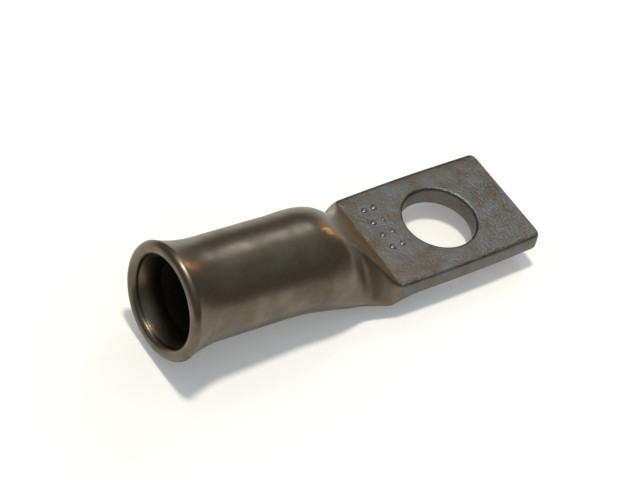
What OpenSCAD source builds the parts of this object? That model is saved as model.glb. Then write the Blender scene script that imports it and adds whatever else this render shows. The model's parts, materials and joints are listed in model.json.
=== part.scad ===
// Tube cable lug: a copper tube with a bell mouth, pressed flat at one end into
// a palm with a stud hole. One piece, tin plated.
// Frame: the stud hole stands on the origin along +Z, the palm's underside lies
// on z = 0 and the palm's free end points to +X. The tube runs toward -X.

/* [Tube] */
// Outside diameter of the tube
tube_d = 11.0; // [10:0.1:12]
// Wall thickness of the tube
wall = 1.2; // [1:0.05:1.4]
// Length from the rim of the mouth to the shoulder, where the pressing starts
barrel_l = 19.1; // [18:0.1:26]

/* [Bell mouth] */
// Outside diameter of the flared rim
mouth_d = 12.7; // [12.2:0.1:13.2]
// Distance from the rim at which the flare has run out into the tube
flare_l = 5.6; // [4.5:0.1:7]
// Radius of the rounded lip
lip_r = 0.7; // [0.6:0.05:0.9]

/* [Palm] */
// Length of the flat palm
palm_l = 19.2; // [17:0.1:22]
// Width of the palm at its two ends
palm_w = 13.6; // [12.8:0.1:14.2]
// Thickness of the palm
palm_t = 2.3; // [2:0.1:2.6]
// How far each side of the palm bows out beside the stud hole
side_bow = 0.15; // [0:0.05:0.4]
// Radius of the palm's two free corners, seen from above
corner_r = 0.6; // [0.3:0.1:1.5]
// How far the palm's side faces are rounded in at their upper edge
side_round = 0.3; // [0.2:0.05:0.5]
// Height of the tube's axis above the palm's top face, where the palm begins
axis_rise = 0.7; // [0.4:0.1:1.2]
// Angle by which the tube points up from the palm's plane, toward its mouth
tube_pitch = 4.3; // [0:0.1:6]

/* [Stud hole] */
// Diameter of the clearance hole for the stud
stud_d = 8.4; // [6.4:0.1:8.6]
// Distance from the start of the palm to the centre of the hole
hole_at = 9.8; // [8.5:0.1:11]
// Radius of the rolled edge at the top of the hole
rim_r = 0.35; // [0.2:0.05:0.5]

/* [Pressed transition] */
// Length of the pressed slope from the shoulder down to the palm
ramp_l = 8.05; // [7.5:0.05:9]
// Height over which the shoulder's bend is rounded
shoulder_soft = 1.6; // [0.8:0.1:2.4]
// Height over which the heel's lower bends are rounded
heel_soft = 2.2; // [1:0.1:2.4]
// How far the tube's sides swell out where it is pressed
side_swell = 0.4; // [0:0.1:0.7]
// Length of round tube ahead of the shoulder over which the sides swell
swell_l = 4.6; // [4:0.1:6]

/* [Hidden] */
tube_r = tube_d / 2;
bore_r = tube_r - wall;
mouth_r = mouth_d / 2;
// stations along the tube's axis, measured from the rim of the mouth
loft_s = barrel_l - swell_l;
palm_s = barrel_l + ramp_l;
end_s = palm_s + palm_l * cos(tube_pitch);
// upper and lower slope of the press tool
palm_z = -axis_rise;
ramp = (tube_r + axis_rise) / ramp_l;
heel_s = palm_s - (tube_r - axis_rise - palm_t) / ramp;
// height of the rounded lower corner of a section, at the tube and at the palm
low_round = 0.6;
low_start = barrel_l - 3;
low_end = palm_s - 0.7;
// the cavity ends where the two walls have almost met
slit = 0.35;
cavity_s = palm_s - 0.8;
// keeps faces that would lie in one another apart
inset = 0.02;
arc_n = 10;

// A step from 0 to 1 with level ends
function ease(u) = let (c = min(1, max(0, u))) c * c * (3 - 2 * c);
// The lesser and the greater of two heights, rounded over a depth k where they cross
function round_min(a, b, k) = min(a, b) - pow(max(k - abs(a - b), 0), 2) / (4 * k);
function round_max(a, b, k) = -round_min(-a, -b, k);
// The palm's rise along the tube's axis
function palm_up(s) = (s - palm_s) * tan(tube_pitch);

// Height of the section's top and bottom at a station
function top_z(s) =
    max(round_min(tube_r, tube_r - (s - barrel_l) * ramp, shoulder_soft), palm_z + palm_up(s));
function bottom_z(s) =
    round_min(
        round_max(-tube_r, -tube_r + (s - heel_s) * ramp, heel_soft),
        palm_z - palm_t + palm_up(s),
        heel_soft
    );
// How far the two free corners of the palm stand in at a station
function corner_in(s) =
    let (d = min(corner_r, max(0, s - end_s + corner_r)))
    corner_r - sqrt(corner_r * corner_r - d * d);
// Half width of the section, bowed out beside the stud hole
function half_w(s) =
    tube_r + side_swell * ease((s - loft_s) / (swell_l + 1))
    + (palm_w / 2 - tube_r - side_swell) * ease((s - heel_s + 1) / (palm_s - heel_s + 1))
    + side_bow * sin(180 * min(1, max(0, (s - palm_s) / (end_s - palm_s))))
    - corner_in(s);
// Half width of the top flat: the tube keeps its girth while it is pressed
function flat_w(s) =
    min(half_w(s) - side_round, max(0, PI / 4 * (tube_d - top_z(s) + bottom_z(s))));
// Height of the lower rounded corner, and the half width of the flat under it
function low_h(s) =
    let (u = min(1, max(0, (s - low_start) / (low_end - low_start))))
    tube_r - (tube_r - low_round) * pow(u, 1.6);
function low_w(s) = (half_w(s) - low_round) * pow(1 - (low_h(s) - low_round) / (tube_r - low_round), 1.5);
// Bulge of the flank: 2 is round, 1 is straight
function bulge(s) = 2 - 0.95 * ease((s - barrel_l - 1.4) / 4) * (1 - ease((s - palm_s + 2) / 2));

// Half of a section from the top's middle, round the flank, to the bottom's middle
function half_section(s, in) =
    let (t = top_z(s) - in, b = bottom_z(s) + in, w = half_w(s) - in)
    let (f = min(flat_w(s), w), g = min(low_w(s), w - 0.1), m = min(b + low_h(s), t - 0.1), e = 2 / bulge(s))
    concat(
        [[0, t]],
        [for (i = [0 : arc_n])
            let (a = 90 - 90 * i / arc_n)
            [f + (w - f) * pow(cos(a), e), m + (t - m) * pow(sin(a), e)]],
        [for (i = [1 : arc_n])
            let (a = 90 * i / arc_n)
            [w - (w - g) * (1 - cos(a)), m - (m - b) * sin(a)]],
        [[0, b]]
    );

// The whole section, set square to the tube and leaned over to the palm
function section(s, in) =
    let (half = half_section(s, in), n = len(half))
    let (lean = tan(tube_pitch) * ease((s - heel_s + 2) / (palm_s - heel_s + 2)))
    let (ring = concat(half, [for (i = [n - 2 : -1 : 1]) [-half[i][0], half[i][1]]]))
    [for (p = ring) [s - (p[1] - palm_z - max(0, palm_up(s))) * lean, p[0], p[1]]];

// A closed solid through a list of sections with equal point counts
module loft(sections) {
    n = len(sections[0]);
    last = len(sections) - 1;
    sides = [for (j = [0 : last - 1], i = [0 : n - 1])
        let (a = j * n + i, b = j * n + (i + 1) % n)
        each [[a, b, b + n], [a, b + n, a + n]]];
    first_cap = [[for (i = [n - 1 : -1 : 0]) i]];
    last_cap = [[for (i = [0 : n - 1]) last * n + i]];
    polyhedron([for (ring = sections) each ring], concat(sides, first_cap, last_cap));
}

// Turned part: straight tube with the flared and rounded mouth
module barrel() {
    flare_r = (flare_l - lip_r) * (flare_l - lip_r) / (mouth_r - tube_r) / 2;
    flare = [for (i = [0 : 8])
        let (x = flare_l - (flare_l - lip_r) * i / 8)
        [tube_r + flare_r - sqrt(flare_r * flare_r - pow(flare_l - x, 2)), x]];
    lip = [for (a = [15 : 15 : 165]) [mouth_r - lip_r + lip_r * cos(a), lip_r - lip_r * sin(a)]];
    throat_r = mouth_r - 2 * lip_r;
    throat = [for (i = [0 : 4])
        [bore_r + (throat_r - bore_r) * pow(1 - i / 4, 2), lip_r + (flare_l - lip_r) * i / 8]];
    rotate([0, 90, 0])
        rotate_extrude($fn = 96)
            polygon(concat([[bore_r, loft_s], [tube_r, loft_s]], flare, lip, throat));
}

// Pressed part: the round tube turns into the flat palm
module pressed_body() {
    neck = [for (i = [0 : 19]) loft_s + (palm_s - loft_s) * i / 20];
    palm = [for (i = [0 : 5]) palm_s + (end_s - corner_r - palm_s) * i / 6];
    corner = [for (a = [0 : 18 : 90]) end_s - corner_r + corner_r * sin(a)];
    loft(concat(
        [section(loft_s - 0.3, inset)],
        [for (s = concat(neck, palm, corner)) section(s, 0)]
    ));
}

// The tube's hollow, closing to a slit where the walls meet
module cavity() {
    loft(concat(
        [section(loft_s - 0.3, wall + inset)],
        [for (i = [0 : 12]) section(loft_s + (cavity_s - loft_s) * i / 12, wall)]
    ));
}

// The stud hole with its rolled top edge
module stud_hole() {
    translate([0, 0, -5])
        cylinder(d = stud_d, h = 12, $fn = 96);
    rotate_extrude($fn = 96)
        difference() {
            translate([0, palm_t - rim_r])
                square([stud_d / 2 + rim_r, rim_r + 1]);
            translate([stud_d / 2 + rim_r, palm_t - rim_r])
                circle(r = rim_r, $fn = 48);
        }
}

module cable_lug() {
    color("#8d897f")
    difference() {
        translate([-hole_at, 0, palm_t])
            rotate([0, tube_pitch, 0])
                translate([-palm_s, 0, -palm_z])
                    difference() {
                        union() {
                            barrel();
                            pressed_body();
                        }
                        cavity();
                    }
        stud_hole();
    }
}

cable_lug();
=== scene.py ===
"""Tinned copper tube lug: finish, marks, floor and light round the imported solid."""

import json
import math

import bmesh
import bpy
import numpy as np
from bpy.props import FloatProperty, FloatVectorProperty, IntProperty, PointerProperty
from mathutils import Matrix, Vector


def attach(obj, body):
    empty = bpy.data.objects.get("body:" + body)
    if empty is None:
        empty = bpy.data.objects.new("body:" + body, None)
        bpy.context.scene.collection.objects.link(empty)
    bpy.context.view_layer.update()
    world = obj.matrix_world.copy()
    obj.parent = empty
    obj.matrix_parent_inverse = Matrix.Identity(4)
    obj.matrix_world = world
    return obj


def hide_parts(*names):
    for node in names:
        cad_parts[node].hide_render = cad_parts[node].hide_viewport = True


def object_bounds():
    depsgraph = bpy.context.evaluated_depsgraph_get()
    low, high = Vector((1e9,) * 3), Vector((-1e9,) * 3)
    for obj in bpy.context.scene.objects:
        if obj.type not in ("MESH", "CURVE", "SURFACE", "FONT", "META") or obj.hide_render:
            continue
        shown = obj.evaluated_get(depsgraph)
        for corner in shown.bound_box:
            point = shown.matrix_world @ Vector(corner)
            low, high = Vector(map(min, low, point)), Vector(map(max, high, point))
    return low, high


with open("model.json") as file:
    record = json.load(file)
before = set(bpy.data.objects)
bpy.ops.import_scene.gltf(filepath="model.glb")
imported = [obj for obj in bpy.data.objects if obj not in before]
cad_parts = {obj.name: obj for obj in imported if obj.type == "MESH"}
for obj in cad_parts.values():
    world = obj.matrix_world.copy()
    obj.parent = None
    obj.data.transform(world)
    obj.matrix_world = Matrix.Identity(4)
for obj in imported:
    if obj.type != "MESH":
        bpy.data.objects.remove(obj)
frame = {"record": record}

bl_info = {
    "name": "Tube Cable Lug",
    "version": (1, 0, 0),
    "blender": (4, 5, 0),
    "location": "View3D > Sidebar > Lug",
    "description": "Builds a tinned copper tube lug with its pressed palm, marks and studio",
    "category": "Object",
}

MM = 0.001
NODE = "cable_lug"
CAD_BOX = [list(corner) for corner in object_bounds()]
MOUNTS = {m["name"]: m for m in frame["record"]["mounts"]}
# The tube points up from the palm's plane by this angle, as its bore's axis says
TUBE_PITCH = math.asin(MOUNTS["cable_bore"]["axis"][2])
PALM_T = MOUNTS["palm_top"]["pos_m"][2]
STUD_R = MOUNTS["stud_hole"]["dims"]["r_mm"] * MM
BORE_R = MOUNTS["cable_bore"]["dims"]["r_mm"] * MM


# ---------------------------------------------------------------- settings


def length(name, description, default_mm):
    """A length that a user sets in the scene's unit, given here in millimetres."""
    return FloatProperty(
        name=name, description=description, default=default_mm * MM, unit="LENGTH", precision=5
    )


def colour(name, description, code):
    """A colour setting that holds the linear value of an sRGB hex code."""
    return FloatVectorProperty(
        name=name, description=description, default=linear(code),
        subtype="COLOR", size=3, min=0, max=1,
    )


def linear(code):
    """sRGB hex code to linear red, green and blue."""
    parts = [int(code[i : i + 2], 16) / 255 for i in (1, 3, 5)]
    return [c / 12.92 if c <= 0.04045 else ((c + 0.055) / 1.055) ** 2.4 for c in parts]


class LugSizes(bpy.types.PropertyGroup):
    """Sizes of the lug, the same as the solid's, and the softness of its edges."""

    tube_d: length("Tube diameter", "Outside diameter of the tube", 11.0)
    barrel_l: length("Barrel length", "From the mouth's rim to the shoulder", 19.1)
    mouth_d: length("Mouth diameter", "Outside diameter of the flared rim", 12.7)
    flare_l: length("Flare length", "Distance over which the flare runs out", 5.6)
    lip_r: length("Lip radius", "Radius of the rounded lip", 0.7)
    palm_l: length("Palm length", "Length of the flat palm", 19.2)
    palm_w: length("Palm width", "Width of the palm at its ends", 13.6)
    side_bow: length("Side bow", "How far the palm's sides bow out", 0.15)
    corner_r: length("Corner radius", "Radius of the palm's free corners", 0.6)
    side_round: length("Side rounding", "Rounding of the palm's upper side edges", 0.3)
    axis_rise: length("Axis rise", "Tube axis above the palm's top face", 0.7)
    hole_at: length("Hole position", "From the palm's start to the stud hole", 9.8)
    rim_r: length("Hole rim radius", "Rolled edge at the top of the hole", 0.35)
    ramp_l: length("Ramp length", "Pressed slope from shoulder to palm", 8.05)
    shoulder_soft: length("Shoulder softness", "Rounding depth of the shoulder", 1.6)
    heel_soft: length("Heel softness", "Rounding depth of the heel", 2.2)
    side_swell: length("Side swell", "How far the tube's sides swell", 0.4)
    swell_l: length("Swell length", "Round tube ahead of the shoulder that swells", 4.6)
    edge_soft: length("Edge softness", "Rounding of ridges and edges by the press", 0.14)


class LugFinish(bpy.types.PropertyGroup):
    """Colours of the tin plating; the palm's cooler grey is partly a painted reflection of the bluish
    sky.
    """

    tin: colour("Tin", "Drawn tin plating on the tube", "#73695b")
    tin_dull: colour("Dull tin", "Tin dulled by handling", "#5d5347")
    # the palm's grained tin, toned a cooler grey that partly stands in as a painted reflection of the
    # bluish sky overhead
    palm_tin_with_painted_sky_tint: colour("Palm tin", "Rolled, grained tin on the palm", "#666868")


class LugMarks(bpy.types.PropertyGroup):
    """A plain grid of raised pips on the palm, beside the pressed slope."""

    along: length("Along", "Spread of the pips along the palm", 1.3)
    across: length("Across", "Spread of the pips across the palm", 5.6)
    centre_x: length("Centre along", "Middle of the grid, from the stud hole", -6.85)
    centre_y: length("Centre across", "Middle of the grid, from the palm's middle", 1.3)
    radius: length("Pip radius", "Radius of one pip", 0.34)
    flatness: FloatProperty(
        name="Flatness", description="Height of a pip over its radius", default=0.32
    )
    columns: IntProperty(name="Columns", description="Pips along the palm", default=2, min=1)
    rows: IntProperty(name="Rows", description="Pips across the palm", default=4, min=1)
    seed: IntProperty(name="Seed", description="Seed of the uneven striking", default=3)


class LugStage(bpy.types.PropertyGroup):
    """Floor, light and camera."""

    floor: colour("Floor", "Pale floor", "#f4f4f3")
    lens: FloatProperty(name="Lens", description="Camera focal length", default=129.75, unit="CAMERA")


# ---------------------------------------------------------------- sections


def ease(u):
    """A step from 0 to 1 with level ends."""
    c = min(1.0, max(0.0, u))
    return c * c * (3 - 2 * c)


def round_min(a, b, k):
    """The lesser of two heights, rounded over a depth k where they cross."""
    return min(a, b) - max(k - abs(a - b), 0) ** 2 / (4 * k)


def round_max(a, b, k):
    """The greater of two heights, rounded over a depth k where they cross."""
    return -round_min(-a, -b, k)


# Crease where the slope meets the palm: how far it is meshed finely, and its rounding, in mm
CREASE_REACH, CREASE_SOFT = 0.5, 0.12


class Shape:
    """The solid's sections in millimetres.

    s runs along the tube's axis from the mouth's rim, and z is up from that axis.
    """

    def __init__(self, sizes):
        for key in LugSizes.__annotations__:
            setattr(self, key, getattr(sizes, key) / MM)
        self.palm_t = PALM_T / MM
        self.bore_r = BORE_R / MM
        self.stud_r = STUD_R / MM
        self.tube_r = self.tube_d / 2
        self.mouth_r = self.mouth_d / 2
        self.wall = self.tube_r - self.bore_r
        self.loft_s = self.barrel_l - self.swell_l
        self.palm_s = self.barrel_l + self.ramp_l
        self.end_s = self.palm_s + self.palm_l * math.cos(TUBE_PITCH)
        self.palm_z = -self.axis_rise
        self.ramp = (self.tube_r + self.axis_rise) / self.ramp_l
        self.heel_s = self.palm_s - (self.tube_r - self.axis_rise - self.palm_t) / self.ramp
        self.low_round = 0.6
        self.low_start = self.barrel_l - 3
        self.low_end = self.palm_s - 0.7
        self.cavity_s = self.palm_s - 0.8

    def palm_up(self, s):
        return (s - self.palm_s) * math.tan(TUBE_PITCH)

    def top_z(self, s):
        palm = self.palm_z + self.palm_up(s)
        if s >= self.palm_s + CREASE_REACH:
            return palm
        slope = self.tube_r - (s - self.barrel_l) * self.ramp
        return round_max(round_min(self.tube_r, slope, self.shoulder_soft), palm, CREASE_SOFT)

    def bottom_z(self, s):
        heel = round_max(-self.tube_r, -self.tube_r + (s - self.heel_s) * self.ramp, self.heel_soft)
        return round_min(heel, self.palm_z - self.palm_t + self.palm_up(s), self.heel_soft)

    def corner_in(self, s):
        d = min(self.corner_r, max(0, s - self.end_s + self.corner_r))
        return self.corner_r - math.sqrt(self.corner_r**2 - d * d)

    def half_w(self, s):
        swell = self.side_swell * ease((s - self.loft_s) / (self.swell_l + 1))
        widen = ease((s - self.heel_s + 1) / (self.palm_s - self.heel_s + 1))
        along = min(1, max(0, (s - self.palm_s) / (self.end_s - self.palm_s)))
        return (
            self.tube_r
            + swell
            + (self.palm_w / 2 - self.tube_r - self.side_swell) * widen
            + self.side_bow * math.sin(math.pi * along)
            - self.corner_in(s)
        )

    def flat_w(self, s):
        """Half width of the top flat: the tube keeps its girth while it is pressed."""
        girth = math.pi / 4 * (self.tube_d - self.top_z(s) + self.bottom_z(s))
        return min(self.half_w(s) - self.side_round, max(0, girth))

    def low_h(self, s):
        u = min(1, max(0, (s - self.low_start) / (self.low_end - self.low_start)))
        return self.tube_r - (self.tube_r - self.low_round) * u**1.6

    def low_w(self, s):
        share = 1 - (self.low_h(s) - self.low_round) / (self.tube_r - self.low_round)
        return (self.half_w(s) - self.low_round) * max(0, share) ** 1.5

    def bulge(self, s):
        """2 is a round flank, 1 a straight one."""
        return 2 - 0.95 * ease((s - self.barrel_l - 1.4) / 4) * (1 - ease((s - self.palm_s + 2) / 2))

    def half_outline(self, s, inset):
        """Close (y, z) points from the top's middle, round one flank, to the bottom's middle."""
        t, b, w = self.top_z(s) - inset, self.bottom_z(s) + inset, self.half_w(s) - inset
        f = min(self.flat_w(s), w)
        g = min(self.low_w(s), w - 0.1)
        m = min(b + self.low_h(s), t - 0.1)
        e = 2 / self.bulge(s)
        a = np.radians(np.linspace(90, 0, 61))
        flank = np.column_stack([
            f + (w - f) * np.maximum(np.cos(a), 0) ** e,
            m + (t - m) * np.maximum(np.sin(a), 0) ** e,
        ])
        a = np.radians(np.linspace(0, 90, 41))[1:]
        low = np.column_stack([w - (w - g) * (1 - np.cos(a)), m - (m - b) * np.sin(a)])
        return np.vstack([[[0, t]], flank, low, [[0, b]]]), f, g

    def lean(self, s):
        return math.tan(TUBE_PITCH) * ease((s - self.heel_s + 2) / (self.palm_s - self.heel_s + 2))

    def place(self, s, ring):
        """Ring of (y, z) at station s, leaned over to the palm, in metres in the model's frame."""
        y, z = ring[:, 0], ring[:, 1]
        x = s - (z - self.palm_z - max(0, self.palm_up(s))) * self.lean(s)
        return self.to_frame(x, y, z)

    def to_frame(self, x, y, z):
        x, z = x - self.palm_s, z - self.palm_z
        c, n = math.cos(TUBE_PITCH), math.sin(TUBE_PITCH)
        return np.column_stack([x * c + z * n - self.hole_at, y, -x * n + z * c + self.palm_t]) * MM


# Points across half of the top flat, round one flank, and across half of the bottom flat
TOP_N, FLANK_N, LOW_N = 16, 40, 16
HALF_N = TOP_N + FLANK_N + LOW_N
RING_N = 2 * HALF_N
# Spacing in mm of a resampled outline, and of the points across the top and the bottom flat
OUTLINE_STEP, TOP_STEP, LOW_STEP = 0.05, 0.045, 0.05
# Length of the loft over which its points leave the round tube's even spacing, in mm
SETTLE_RUN = 2.4


def smooth_line(points, step, width):
    """A half outline resampled at a step and softened over a width, mirrored past its two ends."""
    gaps = np.hypot(*np.diff(points, axis=0).T)
    along = np.concatenate([[0], np.cumsum(gaps)])
    count = max(8, int(round(along[-1] / step)))
    at = np.linspace(0, along[-1], count + 1)
    line = np.column_stack([np.interp(at, along, points[:, k]) for k in (0, 1)])
    reach = max(1, int(3 * width / step))
    weights = np.exp(-0.5 * (np.arange(-reach, reach + 1) * step / width) ** 2)
    weights /= weights.sum()
    before, after = line[1 : reach + 1][::-1] * [-1, 1], line[-reach - 1 : -1][::-1] * [-1, 1]
    padded = np.vstack([before, line, after])
    soft = np.column_stack([np.convolve(padded[:, k], weights, "valid") for k in (0, 1)])
    soft[0, 0] = soft[-1, 0] = 0
    return soft


def ring_at(shape, s, inset=0.0):
    """Ring of (y, z) points at a station, with lines of points that follow the ridges."""
    outline, flat, low = shape.half_outline(s, inset)
    line = smooth_line(outline, OUTLINE_STEP, shape.edge_soft)
    gaps = np.hypot(*np.diff(line, axis=0).T)
    along = np.concatenate([[0], np.cumsum(gaps)])
    total = along[-1]
    settle = ease((s - shape.loft_s) / SETTLE_RUN)
    even = total / HALF_N
    top_end = max(flat, (even * (1 - settle) + TOP_STEP * settle) * TOP_N)
    low_end = total - max(low, (even * (1 - settle) + LOW_STEP * settle) * LOW_N)
    at = np.concatenate([
        np.linspace(0, top_end, TOP_N + 1),
        np.linspace(top_end, low_end, FLANK_N + 1)[1:],
        np.linspace(low_end, total, LOW_N + 1)[1:],
    ])
    half = np.column_stack([np.interp(at, along, line[:, k]) for k in (0, 1)])
    mirrored = half[-2:0:-1] * [-1, 1]
    return np.vstack([half, mirrored])


def circle_ring(radius):
    a = np.arange(RING_N) * 2 * math.pi / RING_N
    return np.column_stack([radius * np.sin(a), radius * np.cos(a)])


# ---------------------------------------------------------------- mesh of the body


def turned_profile(shape):
    """(s, radius) from the bore, through the throat and round the lip, to the end of the flare."""
    lip_s, run = shape.lip_r, shape.flare_l - shape.lip_r
    throat_r = shape.mouth_r - 2 * shape.lip_r
    throat = [
        (lip_s + run * u / 2, shape.bore_r + (throat_r - shape.bore_r) * (1 - u) ** 2)
        for u in np.linspace(1, 0, 18)
    ]
    lip = [
        (lip_s - shape.lip_r * math.sin(a), shape.mouth_r - shape.lip_r + shape.lip_r * math.cos(a))
        for a in np.radians(np.linspace(180, 0, 25))[1:-1]
    ]
    flare_r = run**2 / (shape.mouth_r - shape.tube_r) / 2
    flare = [
        (x, shape.tube_r + flare_r - math.sqrt(flare_r**2 - (shape.flare_l - x) ** 2))
        for x in np.linspace(lip_s, shape.flare_l, 22)
    ]
    return throat + lip + flare


def body_rings(shape):
    """Every ring, from the hollow's blind end out through the mouth and on to the palm's end."""
    rings, stations = [], []

    def add(s, ring, kind):
        rings.append(shape.place(s, ring))
        stations.append((s, kind))

    for s in np.linspace(shape.cavity_s, shape.loft_s, 46)[:-1]:
        add(s, ring_at(shape, s, shape.wall), "hollow")
    for s in np.linspace(shape.loft_s, shape.lip_r + (shape.flare_l - shape.lip_r) / 2, 10)[:-1]:
        add(s, circle_ring(shape.bore_r), "bore")
    for s, radius in turned_profile(shape):
        add(s, circle_ring(radius), "turned")
    for s in np.linspace(shape.flare_l, shape.loft_s, 26)[1:-1]:
        add(s, circle_ring(shape.tube_r), "turned")
    neck = list(np.linspace(shape.loft_s, shape.palm_s - CREASE_REACH, 88))
    near, far = shape.palm_s - CREASE_REACH, shape.palm_s + CREASE_REACH
    crease = list(np.linspace(near, far, 18)[1:])
    # the faces round the stud hole start this far along the palm
    hole_grid = shape.palm_s + 3.0
    start = list(np.linspace(far, hole_grid, 11)[1:])
    palm = list(np.linspace(hole_grid, shape.end_s - shape.corner_r, 54)[1:])
    turns = np.radians([12, 24, 36, 48, 60, 70, 79])
    corner = [shape.end_s - shape.corner_r * (1 - math.sin(a)) for a in turns]
    for s in neck + crease + start:
        add(s, ring_at(shape, s), "neck")
    for s in palm:
        add(s, ring_at(shape, s), "palm")
    for s in corner:
        add(s, ring_at(shape, s), "corner")
    return rings, stations


def on_circle(radius, angle, z):
    """Point round the stud hole's axis, from millimetres to metres."""
    return Vector((radius * math.cos(angle), radius * math.sin(angle), z)) * MM


def shrink(ring, amount):
    """A (y, z) ring moved inwards by an amount along its own normals."""
    tangent = np.roll(ring, -1, axis=0) - np.roll(ring, 1, axis=0)
    normal = np.column_stack([tangent[:, 1], -tangent[:, 0]])
    normal /= np.maximum(np.hypot(*normal.T), 1e-9)[:, None]
    if np.sum(normal * ring) < 0:
        normal = -normal
    return ring - normal * amount


# Material slots of the body after the tube's, which is 0
PALM, BORE = 1, 2
# Rolled edge round the palm's sheared end, and the same at the foot of the stud hole, in mm
END_EDGE, FOOT_EDGE = 0.16, 0.12


def build_body(shape):
    """One closed mesh: hollow, bell mouth, tube, pressed slope and palm with its stud hole."""
    rings, stations = body_rings(shape)
    # the sheared end: a small rolled edge, then a flat face
    end = ring_at(shape, shape.end_s - 0.02)
    for a in np.radians([20, 45, 70, 90]):
        s = shape.end_s - END_EDGE * (1 - math.sin(a))
        rings.append(shape.place(s, shrink(end, END_EDGE * (1 - math.cos(a)))))
        stations.append((shape.end_s, "end"))
    rings.append(shape.place(shape.end_s, shrink(end, END_EDGE + 0.08)))
    stations.append((shape.end_s, "end"))

    mesh = bmesh.new()
    grid = [[mesh.verts.new(p) for p in ring] for ring in rings]
    palm_rows = [i for i, (_, kind) in enumerate(stations) if kind == "palm"]
    first, last = palm_rows[0], palm_rows[-1]
    reach = TOP_N - 2

    def is_top(j):
        return j < reach or j >= RING_N - reach

    def is_low(j):
        return HALF_N - reach <= j < HALF_N + reach

    for i in range(len(grid) - 1):
        for j in range(RING_N):
            if first <= i < last and (is_top(j) or is_low(j)):
                continue
            k = (j + 1) % RING_N
            corners = [grid[i][j], grid[i + 1][j], grid[i + 1][k], grid[i][k]]
            face = mesh.faces.new(corners)
            s = stations[i][0]
            if stations[i][1] in ("hollow", "bore"):
                face.material_index = BORE
            elif s >= shape.palm_s - 0.01:
                face.material_index = PALM
    mesh.faces.new(grid[0][::-1]).material_index = BORE
    mesh.faces.new(grid[-1]).material_index = PALM

    # outlines of the top and bottom faces round the hole, in step with each other
    columns = list(range(-reach, reach + 1))

    def loop(col):
        way = [grid[i][col(reach)] for i in range(first, last + 1)]
        way += [grid[last][col(j)] for j in reversed(columns[1:-1])]
        way += [grid[i][col(-reach)] for i in range(last, first - 1, -1)]
        way += [grid[first][col(j)] for j in columns[1:-1]]
        return way

    top = loop(lambda j: j % RING_N)
    low = loop(lambda j: (HALF_N - j) % RING_N)
    angles = [math.atan2(v.co.y, v.co.x) for v in top]
    hole, rim = shape.stud_r, shape.rim_r
    profile = [
        (hole + rim * (1 - math.sin(a)), shape.palm_t - rim * (1 - math.cos(a)))
        for a in np.radians(np.linspace(0, 90, 9))
    ]
    profile += [(hole, z) for z in np.linspace(shape.palm_t - rim, FOOT_EDGE, 8)[1:]]
    profile += [
        (hole + FOOT_EDGE * (1 - math.cos(a)), FOOT_EDGE * (1 - math.sin(a)))
        for a in np.radians([22, 45, 68, 90])
    ]
    spread = [0.985, 0.96, 0.93] + [0.9 - 0.9 * u for u in np.linspace(0, 1, 24)[1:-1]]
    bands = [top]
    inner_r, inner_z = profile[0]
    for u in spread:
        band = []
        for v, a in zip(top, angles):
            band.append(mesh.verts.new(on_circle(inner_r, a, inner_z).lerp(v.co, u)))
        bands.append(band)
    for radius, z in profile:
        bands.append([mesh.verts.new(on_circle(radius, a, z)) for a in angles])
    outer_r, outer_z = profile[-1]
    for u in [0.04, 0.1] + [0.15 + 0.85 * u for u in np.linspace(0, 1, 16)[:-1]]:
        band = []
        for v, a in zip(low, angles):
            band.append(mesh.verts.new(on_circle(outer_r, a, outer_z).lerp(v.co, u)))
        bands.append(band)
    bands.append(low)
    count = len(top)
    for a, b in zip(bands, bands[1:]):
        for j in range(count):
            k = (j + 1) % count
            mesh.faces.new([a[j], a[k], b[k], b[j]]).material_index = PALM
    mesh.normal_update()
    bmesh.ops.recalc_face_normals(mesh, faces=mesh.faces)
    data = bpy.data.meshes.new("lug_body")
    for face in mesh.faces:
        face.smooth = True
    mesh.to_mesh(data)
    mesh.free()
    return data


# ---------------------------------------------------------------- materials


def add(tree, kind, **settings):
    """Adds a node: plain keys are its settings, keys that start with in_ are input values or links."""
    node = tree.nodes.new(kind)
    for key, value in settings.items():
        if not key.startswith("in_"):
            setattr(node, key, value)
    for key, value in settings.items():
        if key.startswith("in_"):
            name = key[3:]
            socket = node.inputs[int(name)] if name.isdigit() else node.inputs[name.replace("_", " ")]
            if isinstance(value, bpy.types.NodeSocket):
                tree.links.new(value, socket)
            else:
                socket.default_value = value
    return node


def blank(name):
    """A material whose node tree is empty, and that tree."""
    material = bpy.data.materials.new(name)
    material.use_nodes = True
    material.node_tree.nodes.clear()
    return material, material.node_tree


def noise(tree, place, scale, detail, roughness=0.5):
    """Noise over a place in metres: its patches are about 1 / scale metres wide."""
    node = add(
        tree, "ShaderNodeTexNoise",
        in_Vector=place, in_Scale=scale, in_Detail=detail, in_Roughness=roughness,
    )
    return node.outputs["Fac"]


def rgba(value):
    return (*value, 1.0)


def ramp(tree, factor, stops):
    """A colour ramp with (position, grey or colour) stops."""
    node = add(tree, "ShaderNodeValToRGB", in_Fac=factor)
    elements = node.color_ramp.elements
    while len(elements) < len(stops):
        elements.new(0.5)
    for element, (position, value) in zip(elements, stops):
        element.position = position
        element.color = rgba(value) if hasattr(value, "__len__") else (value, value, value, 1)
    return node.outputs["Color"]


# Output of a colour Mix node that holds the mixed colour
MIX_COLOUR = 2
# Seed input and number output of a Random Value node
RANDOM_SEED, RANDOM_NUMBER = "in_8", 1


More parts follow.
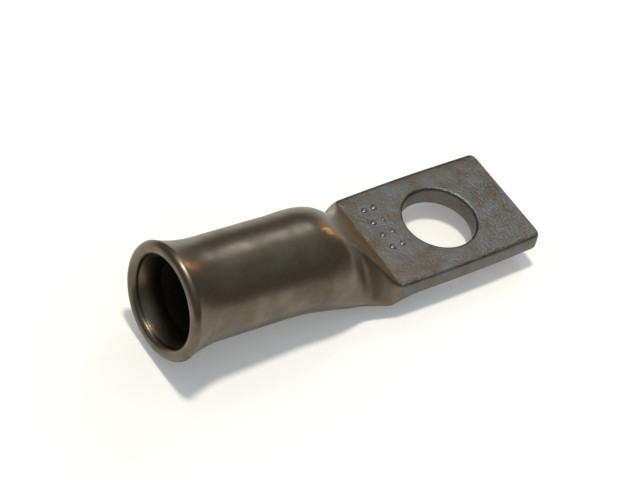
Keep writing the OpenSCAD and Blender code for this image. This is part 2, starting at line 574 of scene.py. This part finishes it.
def drawn_tin(finish):
    """Drawn and tinned copper tube: a soft, slightly wavy gloss with faint warm stains."""
    material, tree = blank("drawn_tinned_tube")
    place = add(tree, "ShaderNodeTexCoord").outputs["Object"]
    # stains about 3 mm wide
    stain = noise(tree, place, 330.0, 4.0, 0.6)
    base = add(
        tree, "ShaderNodeMix", data_type="RGBA",
        in_0=ramp(tree, stain, [(0.35, 0.0), (0.7, 1.0)]),
        in_6=rgba(finish.tin), in_7=rgba(finish.tin_dull),
    )
    # waviness left by drawing and tumbling, 2.5 mm long, and a 0.25 mm grain
    wave = noise(tree, place, 400.0, 1.0, 0.4)
    grain = noise(tree, place, 4000.0, 3.0, 0.6)
    wavy = add(tree, "ShaderNodeBump", in_Strength=0.25, in_Distance=0.0002, in_Height=wave)
    bumped = add(
        tree, "ShaderNodeBump", in_Strength=0.08, in_Distance=0.00004,
        in_Height=grain, in_Normal=wavy.outputs["Normal"],
    )
    shader = add(
        tree, "ShaderNodeBsdfPrincipled", in_Metallic=1.0,
        in_Roughness=ramp(tree, stain, [(0.3, 0.3), (0.75, 0.42)]),
        in_Normal=bumped.outputs["Normal"], in_Base_Color=base.outputs[MIX_COLOUR],
    )
    add(tree, "ShaderNodeOutputMaterial", in_Surface=shader.outputs["BSDF"])
    return material


def grained_tin(finish):
    """Pressed palm: grained tin whose facets catch the light, with dull brownish blotches, in a cooler
    grey that is partly a painted reflection of the bluish sky.
    """
    material, tree = blank("pressed_tinned_palm")
    place = add(tree, "ShaderNodeTexCoord").outputs["Object"]
    # blotches about 1.7 mm wide, facets about 0.4 mm
    blotch = noise(tree, place, 600.0, 3.0, 0.6)
    facet = noise(tree, place, 2600.0, 4.0, 0.65)
    # the palm's colour is partly painted light: its cooler grey stands in for the bluish sky's reflection
    base = add(
        tree, "ShaderNodeMix", data_type="RGBA",
        in_0=ramp(tree, blotch, [(0.35, 0.0), (0.65, 1.0)]),
        in_6=rgba(finish.palm_tin_with_painted_sky_tint), in_7=rgba(finish.tin_dull),
    )
    bumped = add(tree, "ShaderNodeBump", in_Strength=0.8, in_Distance=0.00012, in_Height=facet)
    shader = add(
        tree, "ShaderNodeBsdfPrincipled", in_Metallic=1.0, in_Base_Color=base.outputs[MIX_COLOUR],
        in_Roughness=ramp(tree, blotch, [(0.4, 0.38), (0.7, 0.28)]),
        in_Normal=bumped.outputs["Normal"],
    )
    add(tree, "ShaderNodeOutputMaterial", in_Surface=shader.outputs["BSDF"])
    return material


def bore_tin(finish):
    """Inside of the tube: tin that the tumbling never reached, dull and brownish."""
    material, tree = blank("dull_tinned_bore")
    place = add(tree, "ShaderNodeTexCoord").outputs["Object"]
    stain = noise(tree, place, 500.0, 4.0)
    base = add(
        tree, "ShaderNodeMix", data_type="RGBA", in_0=stain,
        in_6=rgba(finish.tin_dull), in_7=rgba(finish.tin),
    )
    shader = add(
        tree, "ShaderNodeBsdfPrincipled", in_Metallic=1.0,
        in_Base_Color=base.outputs[MIX_COLOUR], in_Roughness=0.55,
    )
    add(tree, "ShaderNodeOutputMaterial", in_Surface=shader.outputs["BSDF"])
    return material


def burnished_tin(finish):
    """Tops of struck marks: tin rubbed bright, so that they catch the lamp."""
    material, tree = blank("burnished_struck_tin")
    shader = add(
        tree, "ShaderNodeBsdfPrincipled", in_Metallic=1.0,
        # the palm's colour, whose cooler grey is partly a painted reflection of the bluish sky
        in_Base_Color=rgba(finish.palm_tin_with_painted_sky_tint), in_Roughness=0.3,
    )
    add(tree, "ShaderNodeOutputMaterial", in_Surface=shader.outputs["BSDF"])
    return material


# ---------------------------------------------------------------- marks


def pip_tree(material):
    """Geometry nodes that set pips on a grid. Returns the tree and the identifiers of its inputs."""
    tree = bpy.data.node_groups.new("palm_pips", "GeometryNodeTree")
    tree.interface.new_socket(name="Geometry", in_out="OUTPUT", socket_type="NodeSocketGeometry")
    kinds = {
        "Along": "Float", "Across": "Float", "Centre": "Vector", "Radius": "Float",
        "Flatness": "Float", "Columns": "Int", "Rows": "Int", "Seed": "Int",
    }
    names = {}
    for name, kind in kinds.items():
        socket = tree.interface.new_socket(name=name, in_out="INPUT", socket_type="NodeSocket" + kind)
        names[name] = socket.identifier
    given = tree.nodes.new("NodeGroupInput").outputs
    grid = add(
        tree, "GeometryNodeMeshGrid", in_Size_X=given["Along"], in_Size_Y=given["Across"],
        in_Vertices_X=given["Columns"], in_Vertices_Y=given["Rows"],
    )
    moved = add(
        tree, "GeometryNodeTransform", in_Geometry=grid.outputs["Mesh"], in_Translation=given["Centre"]
    )
    ball = add(tree, "GeometryNodeMeshUVSphere", in_Segments=24, in_Rings=12, in_Radius=given["Radius"])
    squash = add(tree, "ShaderNodeCombineXYZ", in_X=1.0, in_Y=1.0, in_Z=given["Flatness"])
    pip = add(
        tree, "GeometryNodeTransform", in_Geometry=ball.outputs["Mesh"], in_Scale=squash.outputs["Vector"]
    )
    # each pip is struck a little more or less deeply
    uneven = add(
        tree, "FunctionNodeRandomValue", data_type="FLOAT", in_2=0.75, in_3=1.1,
        **{RANDOM_SEED: given["Seed"]},
    )
    many = add(
        tree, "GeometryNodeInstanceOnPoints", in_Points=moved.outputs["Geometry"],
        in_Instance=pip.outputs["Geometry"], in_Scale=uneven.outputs[RANDOM_NUMBER],
    )
    real = add(tree, "GeometryNodeRealizeInstances", in_Geometry=many.outputs["Instances"])
    smooth = add(tree, "GeometryNodeSetShadeSmooth", in_Geometry=real.outputs["Geometry"])
    done = add(
        tree, "GeometryNodeSetMaterial", in_Geometry=smooth.outputs["Geometry"], in_Material=material
    )
    out = tree.nodes.new("NodeGroupOutput")
    tree.links.new(done.outputs["Geometry"], out.inputs["Geometry"])
    return tree, names


# ---------------------------------------------------------------- operators


class LUG_OT_body(bpy.types.Operator):
    """Build the lug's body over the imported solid"""

    bl_idname = "lug.body"
    bl_label = "Lug body"

    def execute(self, context):
        data = build_body(Shape(context.scene.lug_sizes))
        low, high = CAD_BOX
        for vertex in data.vertices:
            vertex.co = [min(max(c, a), b) for c, a, b in zip(vertex.co, low, high)]
        body = bpy.data.objects.new("lug_body", data)
        context.scene.collection.objects.link(body)
        finish = context.scene.lug_finish
        for material in (drawn_tin(finish), grained_tin(finish), bore_tin(finish)):
            data.materials.append(material)
        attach(body, "root")
        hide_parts(NODE)
        return {"FINISHED"}


class LUG_OT_marks(bpy.types.Operator):
    """Strike a plain grid of pips on the palm, in place of any lettering"""

    bl_idname = "lug.marks"
    bl_label = "Palm pips"

    def execute(self, context):
        marks = context.scene.lug_marks
        pips = bpy.data.objects.new("palm_pips", bpy.data.meshes.new("palm_pips"))
        context.scene.collection.objects.link(pips)
        tree, names = pip_tree(burnished_tin(context.scene.lug_finish))
        modifier = pips.modifiers.new("pips", "NODES")
        modifier.node_group = tree
        values = {
            "Along": marks.along, "Across": marks.across, "Radius": marks.radius,
            "Flatness": marks.flatness, "Columns": marks.columns, "Rows": marks.rows, "Seed": marks.seed,
            "Centre": (marks.centre_x, marks.centre_y, PALM_T),
        }
        for name, value in values.items():
            modifier[names[name]] = value
        pips.update_tag()
        shaped = pips.evaluated_get(context.evaluated_depsgraph_get())
        data = bpy.data.meshes.new_from_object(shaped)
        pips.modifiers.remove(modifier)
        pips.data = data
        if not data.polygons:
            raise RuntimeError("the pips came out empty")
        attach(pips, "root")
        return {"FINISHED"}


# Sky of the studio from the horizon, 0, to straight up, 1
SKY = (
    (0.0, "#6e655c"),
    (0.3, "#7d7468"),
    (0.55, "#8b949b"),
    (0.8, "#9fabae"),
    (1.0, "#aebdc0"),
)
# Name, place in metres, size across in metres, watts and tint; each lamp looks at the origin
LAMPS = (
    ("ceiling_lamp", (-0.02, 0.15, 0.9), 0.12, 5.0, "#fff6e8"),
    ("window", (0.56, 0.47, 0.68), 0.25, 1.0, "#dfe9f5"),
    ("low_warm_lamp", (0.9, 0.35, 0.25), 0.1, 1.0, "#ffc98a"),
)
# The camera's place in millimetres, and the directions to its right, up and back
CAMERA_PLACE = Vector((-139.7527, -113.7975, 179.8617))
CAMERA_RIGHT = Vector((0.81163869, -0.54217524, 0.21745952))
CAMERA_UP = Vector((0.28811158, 0.69536889, 0.6583721))
CAMERA_BACK = Vector((-0.50816764, -0.47170766, 0.72059526))
# Half the floor's side, and the gap that keeps it clear of the lug, in metres
FLOOR_REACH, FLOOR_GAP = 3.0, 0.00002


def area_lamp(name, place, size, watts, tint):
    lamp = bpy.data.lights.new(name, "AREA")
    lamp.shape = "DISK"
    lamp.size = size
    lamp.energy = watts
    lamp.color = linear(tint)
    holder = bpy.data.objects.new(name, lamp)
    bpy.context.scene.collection.objects.link(holder)
    holder.location = place
    holder.rotation_euler = (-Vector(place)).to_track_quat("-Z", "Y").to_euler()
    return holder


class LUG_OT_stage(bpy.types.Operator):
    """Build the floor, the lamps, the world and the camera"""

    bl_idname = "lug.stage"
    bl_label = "Studio"

    def execute(self, context):
        scene = context.scene
        low = CAD_BOX[0][2]
        mesh = bmesh.new()
        bmesh.ops.create_grid(mesh, x_segments=1, y_segments=1, size=FLOOR_REACH)
        bmesh.ops.translate(mesh, verts=mesh.verts, vec=(0, 0, low - FLOOR_GAP))
        data = bpy.data.meshes.new("floor")
        mesh.to_mesh(data)
        mesh.free()
        floor = bpy.data.objects.new("floor", data)
        scene.collection.objects.link(floor)
        data.materials.append(self.floor_paint(scene.lug_stage))
        self.lights(scene)
        self.camera(scene)
        scene.view_settings.view_transform = "Standard"
        return {"FINISHED"}

    def floor_paint(self, stage):
        material, tree = blank("matt_paper_floor")
        paths = add(tree, "ShaderNodeLightPath").outputs
        seen = paths["Is Camera Ray"]
        for other in ("Is Glossy Ray", "Is Transmission Ray"):
            either = add(tree, "ShaderNodeMath", operation="MAXIMUM", in_0=seen, in_1=paths[other])
            seen = either.outputs[0]
        paper = add(tree, "ShaderNodeBsdfDiffuse", in_Color=rgba(stage.floor))
        glow = add(tree, "ShaderNodeMath", operation="MULTIPLY", in_0=seen, in_1=0.2)
        lift = add(tree, "ShaderNodeEmission", in_Color=(1, 1, 1, 1), in_Strength=glow.outputs[0])
        both = add(tree, "ShaderNodeAddShader", in_0=paper.outputs[0], in_1=lift.outputs[0])
        add(tree, "ShaderNodeOutputMaterial", in_Surface=both.outputs[0])
        return material

    def lights(self, scene):
        world = bpy.data.worlds.new("studio")
        scene.world = world
        world.use_nodes = True
        tree = world.node_tree
        tree.nodes.clear()
        way = add(tree, "ShaderNodeTexCoord").outputs["Generated"]
        height = add(tree, "ShaderNodeSeparateXYZ", in_Vector=way).outputs["Z"]
        sky = ramp(tree, height, [(level, linear(code)) for level, code in SKY])
        back = add(tree, "ShaderNodeBackground", in_Color=sky, in_Strength=1.0)
        add(tree, "ShaderNodeOutputWorld", in_Surface=back.outputs[0])
        for lamp in LAMPS:
            area_lamp(*lamp)

    def camera(self, scene):
        camera = bpy.data.cameras.new("camera")
        camera.lens = scene.lug_stage.lens
        camera.sensor_width = 36
        camera.clip_start = 0.01
        camera.clip_end = 10
        holder = bpy.data.objects.new("camera", camera)
        scene.collection.objects.link(holder)
        turn = Matrix((CAMERA_RIGHT, CAMERA_UP, CAMERA_BACK)).transposed().to_4x4()
        holder.matrix_world = Matrix.Translation(CAMERA_PLACE * MM) @ turn
        scene.camera = holder


class VIEW3D_PT_lug(bpy.types.Panel):
    """Buttons that build the lug and its studio"""

    bl_label = "Tube cable lug"
    bl_idname = "VIEW3D_PT_lug"
    bl_space_type = "VIEW_3D"
    bl_region_type = "UI"
    bl_category = "Lug"

    def draw(self, context):
        layout = self.layout
        for group in (getattr(context.scene, name) for name in GROUPS):
            box = layout.box()
            for key in group.__annotations__:
                box.prop(group, key)
        for operator in (LUG_OT_body, LUG_OT_marks, LUG_OT_stage):
            layout.operator(operator.bl_idname)


CLASSES = (
    LugSizes, LugFinish, LugMarks, LugStage,
    LUG_OT_body, LUG_OT_marks, LUG_OT_stage, VIEW3D_PT_lug,
)
GROUPS = {
    "lug_sizes": LugSizes,
    "lug_finish": LugFinish,
    "lug_marks": LugMarks,
    "lug_stage": LugStage,
}


def register():
    for cls in CLASSES:
        bpy.utils.register_class(cls)
    for name, group in GROUPS.items():
        setattr(bpy.types.Scene, name, PointerProperty(type=group))


def unregister():
    for name in GROUPS:
        delattr(bpy.types.Scene, name)
    for cls in reversed(CLASSES):
        bpy.utils.unregister_class(cls)


def main():
    register()
    bpy.ops.lug.body()
    bpy.ops.lug.marks()
    bpy.ops.lug.stage()


if __name__ == "__main__":
    main()
